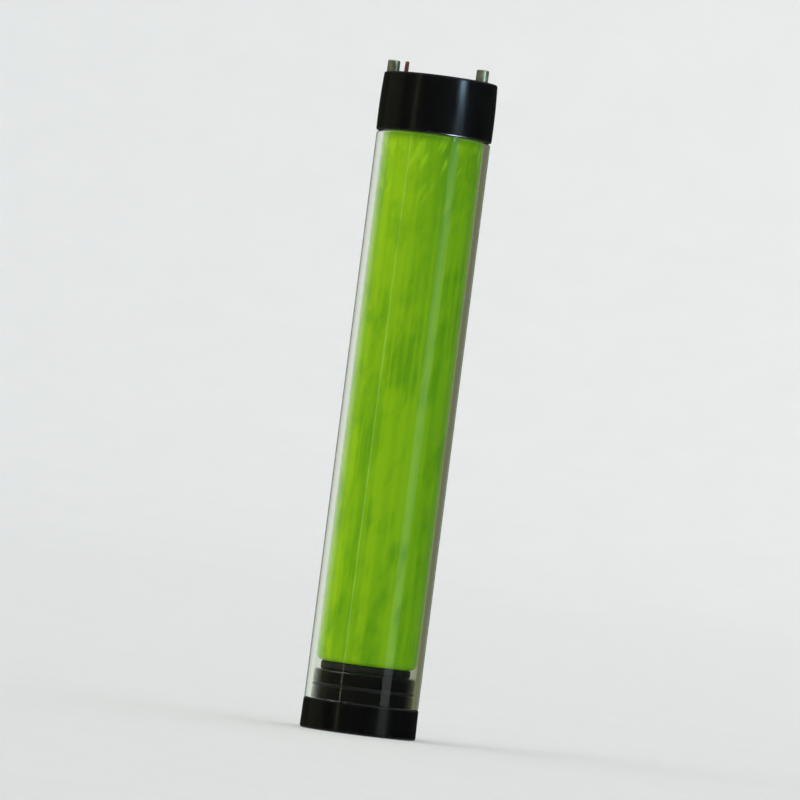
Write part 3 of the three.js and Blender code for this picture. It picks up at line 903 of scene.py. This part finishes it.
def make_probe_plate():
    """The lid insert: a collar with a snap bead, a spoked plate with a hub, and a lip for the gauze."""
    bead_low = top("probe_plate") - 1.0
    outline = [
        (0, HUB_Z),
        (HUB_RADIUS, HUB_Z, 0.3),
        (HUB_RADIUS, PLATE_Z, 0.2),
        (LIP_BORE, PLATE_Z, 0.1),
        (LIP_BORE, foot("probe_plate"), 0.2),
        (LIP_RADIUS, foot("probe_plate"), 0.2),
        (LIP_RADIUS, PLATE_Z, 0.2),
        (radius("probe_plate"), PLATE_Z, 0.25),
        (radius("probe_plate"), PLATE_TOP, 0.25),
        (COLLAR_RADIUS, PLATE_TOP, 0.15),
        (COLLAR_RADIUS, bead_low - 0.3, 0.15),
        (BEAD_RADIUS, bead_low, 0.2),
        (BEAD_RADIUS, top("probe_plate"), 0.35),
        (COLLAR_BORE, top("probe_plate"), 0.35),
        (COLLAR_BORE, PLATE_TOP + 0.9, 0.3),
        (PORT_RADIUS + 0.1, PLATE_TOP + 0.05, 0.3),
        (HUB_RADIUS, PLATE_TOP, 0.15),
        (HUB_RADIUS - 0.3, HUB_TOP, 0.1),
        (0, HUB_TOP),
    ]
    air_hole = 0.5
    air_circle = 11.75
    tools = [port_tool(quarter * math.pi / 2) for quarter in range(4)]
    tools.append(round_tool(PROBE_HOLE, HUB_Z - 1, CAP_TOP))
    for quarter in range(4):
        centre = around(air_circle, math.pi / 4 + quarter * math.pi / 2)
        tools.append(round_tool(air_hole, PLATE_Z - 1, PLATE_TOP + 1, centre, columns=24))
    plate = combined(spun(rounded(outline, 0.2)), tools, "DIFFERENCE")
    piece("probe_plate_moulded", "probe_plate", plate, satin)


def make_probe_pin():
    """The pin that opens a drain valve: a threaded stud below, a collar on the hub and a round tip."""
    shank = 1.5
    collar = radius("probe_pin")
    seat = HUB_TOP + GAP
    tip, low = top("probe_pin"), foot("probe_pin")
    outline = [
        (0, low),
        (shank, low, 0.4),
        (shank, seat - 0.3, 0.05),
        (shank - 0.15, seat - 0.2, 0.05),
        (shank - 0.15, seat, 0.05),
        (collar, seat, 0.1),
        (collar, seat + 0.5, 0.2),
        (shank + 0.2, seat + 0.8, 0.2),
        (shank, tip - 0.9, 0.6),
        (shank - 0.45, tip, 0.7),
        (0, tip),
    ]
    points = refined(rounded(outline, 0.1), shank, low, seat)
    pitch = 0.5
    turns = (seat - low - 1.2) / pitch
    thread = screw_thread(shank, -0.25, low + 0.5, turns, pitch, 0.22, 0.04)
    piece("probe_pin_turned", "probe_pin", spun(points, SMALL_ROUND, thread), steel)


def make_probe_nut():
    flat = 2.75
    low, high = foot("probe_nut"), top("probe_nut")
    outline = [
        (PROBE_HOLE, low, 0.2),
        (flat, low, 0),
        (flat, high, 0),
        (PROBE_HOLE, high, 0.2),
    ]
    points = refined(rounded(outline, 0.1), flat, low, high)
    hexagon = hexagon_at(flat, low, high, chamfer=1.5)
    piece("probe_nut_hexagon", "probe_nut", spun(points, SMALL_ROUND, hexagon), steel)


HALF_SHEET = 0.25  # of the CAD model's dish, whose middle the wires follow
DISH_FLOOR = foot("strainer_mesh") + HALF_SHEET
DISH_FLANGE = top("strainer_mesh") - HALF_SHEET
DISH_RADIUS = 7.75
DISH_SLOPE = 1.2


def dish_height(reach):
    """The height of the gauze at a distance from the axis: floor, sloping wall and flange."""
    share = min(max((reach - DISH_RADIUS) / DISH_SLOPE, 0), 1)
    return DISH_FLOOR + (DISH_FLANGE - DISH_FLOOR) * share * share * (3 - 2 * share)


def gauze_wire_path(offset, across, pitch, edge, phase):
    """One wire's centreline over the dish. It weaves over and under the wires that cross it."""
    lift = 0.105
    spacing = 0.17
    ahead = 0.05
    reach = math.sqrt(max(edge**2 - offset**2, 0))
    points = []
    along = -reach
    while along < reach:
        distance = math.hypot(along, offset)
        height = dish_height(distance) + lift * phase * math.cos(math.pi * along / pitch)
        points.append(Vector((offset, along, height) if across else (along, offset, height)))
        slope = (dish_height(distance + ahead) - dish_height(distance)) / ahead
        along += spacing / math.sqrt(1 + slope * slope)
    return points


def wire_sections(path, across, wire_radius, sides=6):
    """Rings of points round a wire's centreline."""
    flat = Vector((1, 0, 0)) if across else Vector((0, 1, 0))
    sections = []
    for i, point in enumerate(path):
        tangent = (path[min(i + 1, len(path) - 1)] - path[max(i - 1, 0)]).normalized()
        up = tangent.cross(flat).normalized()
        ring = []
        for side in range(sides):
            angle = FULL_TURN * side / sides
            ring.append(point + (flat * math.cos(angle) + up * math.sin(angle)) * wire_radius)
        sections.append(ring)
    return sections


def make_strainer_mesh():
    """Woven wire pressed to a dish, with a rolled rim that hides the cut ends."""
    pitch = 0.62
    wire_radius = 0.105
    edge = radius("strainer_mesh") - 0.3
    rim_cord = 0.2
    rim_radius = radius("strainer_mesh") - rim_cord - 0.05
    count = int(edge / pitch)
    vertices, faces = [], []
    for across in (False, True):
        for i in range(-count, count + 1):
            phase = (1 if i % 2 else -1) * (1 if across else -1)
            path = gauze_wire_path(i * pitch, across, pitch, edge, phase)
            if len(path) < 4:
                continue
            new_vertices, new_faces = swept(wire_sections(path, across, wire_radius))
            first = len(vertices)
            vertices += new_vertices
            faces += [tuple(corner + first for corner in face) for face in new_faces]
    rim = spun(ring_outline(rim_radius, DISH_FLANGE, rim_cord, 12))
    first = len(vertices)
    vertices += [tuple(vertex.co) for vertex in rim.vertices]
    faces += [tuple(corner + first for corner in face.vertices) for face in rim.polygons]
    mesh = bpy.data.meshes.new("gauze")
    mesh.from_pydata(vertices, [], faces)
    piece("strainer_gauze_woven", "strainer_mesh", mesh, wire, sharp=60)


make_flat_ring("rim_gasket_rubber", "rim_gasket", NECK_BORE - GAP, rubber, 0.25)
make_probe_plate()
make_probe_pin()
make_flat_ring("probe_washer_steel", "probe_washer", PROBE_HOLE, steel, 0.1)
make_probe_nut()
make_strainer_mesh()
make_flat_ring("strainer_ring_steel", "strainer_ring", radius("strainer_ring") - 0.9, steel, 0.15)


# ---- The cap ---------------------------------------------------------------------


def make_cap_shell():
    """The screw cap: a crowned skirt with an inside thread, a mouth, a recess for the insert's bead,
    an air groove under the top, and holes for the vent plug and the prongs."""
    mouth = 10.6
    recess = 11.1
    recess_z = CAP_TOP - 1.9
    gallery_in, gallery_out = 11.3, 13.8
    gallery_z = ROOF_Z + 0.6
    top_radius = 16.95
    foot_radius = radius("cap_shell") - 0.07
    crown = 0.2  # brings the widest row, a third of the way up, to the CAD model's radius
    outline = [
        (SKIRT_BORE, CAP_FOOT, 0.35),
        *crowned_wall(foot_radius, CAP_FOOT, top_radius, CAP_TOP, crown, (0.55, 0.95), steps=16),
        (recess, CAP_TOP, 0.3),
        (recess, recess_z, 0.1),
        (mouth, recess_z, 0.15),
        (mouth, ROOF_Z, 0.15),
        (gallery_in, ROOF_Z, 0.1),
        (gallery_in, gallery_z, 0.15),
        (gallery_out, gallery_z, 0.15),
        (gallery_out, ROOF_Z, 0.1),
        (SKIRT_BORE, ROOF_Z, 0.4),
    ]
    points = refined(rounded(outline, 0.2), SKIRT_BORE, CAP_FOOT, ROOF_Z)
    thread = screw_thread(SKIRT_BORE, -1.35, THREAD_Z - 1.05)
    vent = axis_of("vent_plug")
    well_floor = CAP_TOP - VENT_WELL_DEPTH
    tools = [round_tool(VENT_BORE, ROOF_Z - 1, CAP_TOP + 1, vent)]
    tools.append(round_tool(VENT_WELL_RADIUS, well_floor, CAP_TOP, vent, 0.12))
    for node in ("prong_left", "prong_right"):
        tools.append(round_tool(radius(node) + 0.08, foot(node) - GAP, CAP_TOP, axis_of(node), 0.1))
    shell = combined(spun(points, warp=thread), tools, "DIFFERENCE")
    piece("cap_shell_moulded", "cap_shell", shell, black)


def make_prong(node):
    """A turned post with a rounded top edge and a shallow centre mark."""
    low, high, reach = foot(node), top(node), radius(node)
    mark, mark_floor, mark_depth = 0.35, 0.12, 0.12
    outline = [
        (0, low),
        (reach, low, 0.2),
        (reach, high, 0.4),
        (mark, high, 0.1),
        (mark_floor, high - mark_depth, 0.05),
        (0, high - mark_depth),
    ]
    post = spun(rounded(outline, 0.2), SMALL_ROUND, centre=axis_of(node))
    piece(node + "_turned", node, post, steel)


def tab_ring(centre, height, width, thickness):
    """A flat oval round a centre, its longer sides nearly straight."""
    sides = 40
    ring = []
    for side in range(sides):
        angle = FULL_TURN * side / sides
        x = math.copysign(abs(math.cos(angle)) ** 0.7, math.cos(angle))
        y = math.copysign(abs(math.sin(angle)) ** 0.45, math.sin(angle))
        ring.append((centre[0] + thickness * x, centre[1] + width * y, height))
    return ring


def pull_tab(centre, low, high):
    """A thin tab that leans a little and thins towards its rounded top."""
    steps = 16
    half_width, half_thickness, corner = 1.55, 0.66, 1.0
    taper, waist, lean = 0.1, 0.15, 0.16
    edge_round, thinnest = 0.4, 0.12
    levels = []
    for step in range(steps + 1):
        rise = step / steps
        height = low + (high - low) * math.sin(rise * math.pi / 2)
        from_top = high - height
        inset = corner - math.sqrt(max(0, corner**2 - max(0, corner - from_top) ** 2))
        dome = math.sqrt(max(0.0, 1 - max(0, 1 - from_top / edge_round) ** 2))
        thickness = (half_thickness - taper * rise) * max(dome, thinnest)
        width = half_width - waist * (1 - rise) - inset
        levels.append(tab_ring((centre[0] + lean * rise * rise, centre[1]), height, width, thickness))
    vertices, faces = swept(levels)
    tab = bpy.data.meshes.new("tab")
    tab.from_pydata(vertices, [], faces)
    return tab


def make_vent_plug():
    """A stem and flange with the pull tab moulded on."""
    centre = axis_of("vent_plug")
    low = foot("vent_plug")
    stem = VENT_BORE - GAP
    flange = radius("vent_seal")
    flange_low = top("vent_seal") + GAP
    flange_high = flange_low + 0.4
    outline = [
        (0, low),
        (stem, low, 0.35),
        (stem, flange_low, 0.1),
        (flange, flange_low, 0.12),
        (flange, flange_high, 0.15),
        (0, flange_high),
    ]
    body = spun(rounded(outline, 0.1), SMALL_ROUND, centre=centre)
    tab = pull_tab(centre, flange_high - 0.15, top("vent_plug"))
    piece("vent_plug_tab", "vent_plug", combined(body, [tab], "UNION"), faded_red())


make_cap_shell()
make_prong("prong_left")
make_prong("prong_right")
make_vent_plug()
make_flat_ring("vent_seal_rubber", "vent_seal", VENT_BORE, rubber, 0.12)


# ---- Studio ----------------------------------------------------------------------

CAMERA_DISTANCE = 2.1
CAMERA_HEIGHT = 0.0615  # the camera looks slightly up at the cap
CAMERA_ROLL = math.radians(7.3)  # the sampler leans to the right in the picture
FRAME_HEIGHT = 0.238  # metres of the object's plane that the picture takes in
SENSOR = 36.0


def pale_floor():
    """A wide pale floor that curves up far away, so that no horizon shows."""
    material, tree, shader = new_material(
        "pale_floor",
        Roughness=0.7,
        Specular_IOR_Level=0.2,
        Emission_Color=(1, 1, 1, 1),
        Emission_Strength=0.03,
    )
    mottle = noise(tree, 60.0, detail=5.0)
    dull, pale = (0.783, 0.801, 0.845), (0.798, 0.817, 0.861)
    connect(tree, shader, Base_Color=blended(tree, spread(tree, mottle, 0, 1), dull, pale))
    flat, bend, wall = 4000.0, 2500.0, 8000.0
    bend_steps = 16
    points = [Vector((reach, 0)) for reach in (0, 600, 1600)]
    for step in range(bend_steps + 1):
        angle = math.pi / 2 * step / bend_steps
        points.append(Vector((flat + bend * math.sin(angle), bend * (1 - math.cos(angle)))))
    points.append(Vector((flat + bend, wall)))
    mesh = spun(points, SMALL_ROUND)
    mesh.materials.append(material)
    mesh.flip_normals()
    mesh.shade_smooth()
    floor = bpy.data.objects.new("floor", mesh)
    bpy.context.scene.collection.objects.link(floor)
    floor.visible_glossy = False
    floor.visible_transmission = False
    floor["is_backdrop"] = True


def shine_on(holder, receivers):
    """Makes a lamp show only as a reflection in some pieces."""
    holder.visible_camera = False
    holder.visible_diffuse = False
    holder.visible_transmission = False
    holder.light_linking.receiver_collection = receivers
    bpy.context.scene.collection.objects.link(holder)


def softbox(name, azimuth, distance, height, size, watts, colour):
    """A rectangular lamp that faces the tube, at an azimuth from the camera's side, positive to the
    right."""
    aim = 0.1  # the height on the tube's axis that it faces
    lamp = bpy.data.lights.new(name, "AREA")
    lamp.shape = "RECTANGLE"
    lamp.size, lamp.size_y = size
    lamp.energy = watts
    lamp.color = colour
    holder = bpy.data.objects.new(name, lamp)
    angle = math.radians(azimuth)
    holder.location = (distance * math.sin(angle), -distance * math.cos(angle), height)
    towards = Vector((0, 0, aim)) - holder.location
    holder.rotation_euler = towards.to_track_quat("-Z", "Y").to_euler()
    shine_on(holder, MIRRORS)


def table_glint():
    """A patch of light on the floor in front, to the right, for the glint under the cap's edge."""
    lamp = bpy.data.lights.new("table_glint", "AREA")
    lamp.size = 0.09
    lamp.energy = 5.0
    lamp.color = (0.6, 0.78, 1.0)
    holder = bpy.data.objects.new("table_glint", lamp)
    holder.location = (0.15, -0.14, 0.003)
    holder.rotation_euler = (math.pi, 0, 0)
    shine_on(holder, CAP_PIECES)


def soft_sun(azimuth, elevation, strength, colour):
    """The key light. It is very soft and lights the floor evenly, and shows in no reflection."""
    lamp = bpy.data.lights.new("sun", "SUN")
    lamp.angle = math.radians(50)
    lamp.energy = strength
    lamp.color = colour
    holder = bpy.data.objects.new("sun", lamp)
    across, up = math.radians(azimuth), math.radians(elevation)
    towards = Vector((-math.sin(across) * math.cos(up), math.cos(across) * math.cos(up), -math.sin(up)))
    holder.rotation_euler = towards.to_track_quat("-Z", "Y").to_euler()
    holder.visible_glossy = False
    bpy.context.scene.collection.objects.link(holder)


def soft_world():
    """Pale all round for matt surfaces. What shows behind the clear tube is pale on the left and dull on
    the right, and what is mirrored is dim near the horizon and brighter overhead and below."""
    world = bpy.data.worlds.new("soft_world")
    world.use_nodes = True
    tree = world.node_tree
    background = tree.nodes["Background"]
    direction = add_node(tree, "ShaderNodeTexCoord").outputs["Generated"]
    axes = add_node(tree, "ShaderNodeSeparateXYZ", Vector=direction)
    across = axes.outputs["X"]
    steepness = maths(tree, "ABSOLUTE", axes.outputs["Z"])
    path = add_node(tree, "ShaderNodeLightPath")
    behind_left, behind_right = (0.78, 0.83, 0.74), (0.17, 0.18, 0.10)
    dim_left, dim_right = (0.045, 0.05, 0.035), (0.025, 0.028, 0.025)
    steep = (0.42, 0.45, 0.47)
    warm_left, cool_right = (1.68, 1.45, 0.92), (0.44, 0.64, 0.90)
    through = blended(tree, spread(tree, across, 0, 1, -0.2, 0.3), behind_left, behind_right)
    level = blended(tree, spread(tree, across, 0, 1, -1.0, 1.0), dim_left, dim_right)
    mirrored = blended(tree, spread(tree, steepness, 0, 1, 0.15, 0.7), level, steep)
    matt = blended(tree, spread(tree, across, 0, 1, -1.0, 1.0), warm_left, cool_right)
    behind = spread(tree, axes.outputs["Y"], 0, 1, 0.2, 0.6)
    seen_through = maths(tree, "MULTIPLY", path.outputs["Is Transmission Ray"], behind)
    seen = blended(tree, seen_through, mirrored, through)
    light = blended(tree, path.outputs["Diffuse Depth"], seen, matt)
    colour = blended(tree, path.outputs["Is Camera Ray"], light, (0.88, 0.89, 0.89))
    tree.links.new(colour, background.inputs["Color"])
    bpy.context.scene.world = world


def photo_camera():
    """A long lens from the front, a little below the cap's level."""
    camera = bpy.data.cameras.new("camera")
    camera.sensor_width = SENSOR
    camera.lens = SENSOR * CAMERA_DISTANCE / FRAME_HEIGHT
    camera.clip_end = 100
    holder = bpy.data.objects.new("camera", camera)
    holder.location = (0, -CAMERA_DISTANCE, CAMERA_HEIGHT)
    low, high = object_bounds()
    towards = (low + high) / 2 - holder.location
    facing = towards.to_track_quat("-Z", "Y")
    holder.rotation_euler = (facing.to_matrix() @ Matrix.Rotation(CAMERA_ROLL, 3, "Z")).to_euler()
    bpy.context.scene.collection.objects.link(holder)
    bpy.context.scene.camera = holder


pale_floor()
soft_world()
soft_sun(-62, 40, 1.5, (1.0, 0.985, 0.93))
softbox("window", 47, 1.3, 0.44, (0.22, 0.10), 2.1, (0.50, 0.76, 1.0))
softbox("sky", 47, 1.0, 1.25, (0.9, 0.5), 3.0, (0.60, 0.80, 1.0))
softbox("sill", 47, 1.3, 0.08, (0.44, 0.34), 0.4, (0.85, 1.0, 0.95))
softbox("left_strip", -45, 1.3, 0.22, (0.07, 0.8), 0.24, (1.0, 1.0, 0.6))
softbox("left_side", -100, 1.3, 0.2, (1.1, 0.8), 0.28, (1.0, 1.0, 0.5))
table_glint()
photo_camera()
bpy.context.scene.view_settings.view_transform = "Standard"
